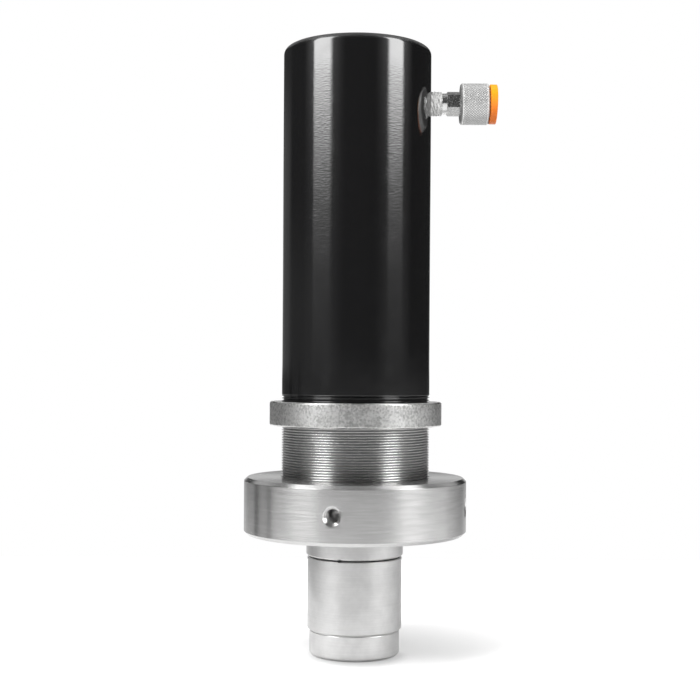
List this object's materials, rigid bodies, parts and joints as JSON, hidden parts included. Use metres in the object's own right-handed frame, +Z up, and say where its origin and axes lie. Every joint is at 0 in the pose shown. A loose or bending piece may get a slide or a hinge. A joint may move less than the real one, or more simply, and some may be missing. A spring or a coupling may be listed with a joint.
{
  "type": "hydraulic press cylinder",
  "caption": "Single-acting hydraulic press cylinder: threaded black barrel, side-tapped mounting flange, lock ring, removable ram head and a capped hose coupler.",
  "frame": {"origin": "centre of the pressure pad's flat bottom face, on the cylinder's axis, with the ram drawn in", "axes": "+Z up the cylinder's axis towards its closed end, +X out along the hose coupler"},
  "size_m": [0.1953, 0.173, 0.471],
  "materials": {
    "black_paint": "high gloss",
    "machined_steel": "fine turned",
    "zinc_plated_steel": "dull zinc plate",
    "hard_chrome": "ground and plated",
    "satin_steel": "satin, lightly rubbed",
    "dark_steel": "oiled, as rolled",
    "bright_plating": "bright nickel plate",
    "bronze": "turned",
    "nitrile_rubber": "matt",
    "nylon": "natural",
    "sealing_tape": "white, wrinkled",
    "orange_plastic": "moulded, semi-gloss"
  },
  "bodies": {
    "barrel": {"barrel": "black_paint", "end_cap": "black_paint", "end_cap_o_ring": "nitrile_rubber", "mounting_flange": "machined_steel", "gland": "satin_steel", "gland_o_ring": "nitrile_rubber", "rod_bearing": "bronze", "rod_wiper": "nitrile_rubber", "stop_sleeve": "dark_steel", "return_spring": "dark_steel", "coupler_body": "bright_plating", "thread_tape": "sealing_tape", "collar_snap_ring": "dark_steel", "valve_spring": "dark_steel", "valve_spring_disc": "bright_plating"},
    "ram": {"ram_rod": "hard_chrome", "rod_o_ring": "nitrile_rubber", "ram_head": "satin_steel", "head_lock_screw": "dark_steel", "pressure_pad": "satin_steel", "pad_retaining_ring": "nitrile_rubber", "piston": "machined_steel", "piston_cup_seal": "nitrile_rubber", "piston_backup_ring": "nylon", "piston_wear_ring": "nylon", "piston_nut": "dark_steel"},
    "lock_ring": {"lock_ring": "zinc_plated_steel"},
    "coupler_collar": {"coupler_collar": "bright_plating"},
    "dust_plug": {"dust_plug": "orange_plastic"},
    "valve_poppet": {"valve_poppet": "bright_plating"}
  },
  "joints": [
    {"name": "ram_stroke", "type": "slide", "parent": "barrel", "child": "ram", "axis": [0, 0, -1], "range_m": [0, 0.15], "stiffness_N_per_m": 12000, "springref_m": -0.035, "deforming": ["return_spring"]},
    {"name": "lock_ring_travel", "type": "slide", "parent": "barrel", "child": "lock_ring", "axis": [0, 0, 1], "range_m": [-0.0397, 0.004]},
    {"name": "collar_spin", "type": "hinge", "parent": "barrel", "child": "coupler_collar", "pos_m": [0.08035, 0, 0.4294], "axis": [1, 0, 0], "continuous": true},
    {"name": "dust_plug_pull", "type": "slide", "parent": "coupler_collar", "child": "dust_plug", "axis": [1, 0, 0], "range_m": [0, 0.03]},
    {"name": "valve_push", "type": "slide", "parent": "barrel", "child": "valve_poppet", "axis": [-1, 0, 0], "range_m": [0, 0.003], "stiffness_N_per_m": 600, "springref_m": -0.004, "deforming": ["valve_spring"]}
  ]
}
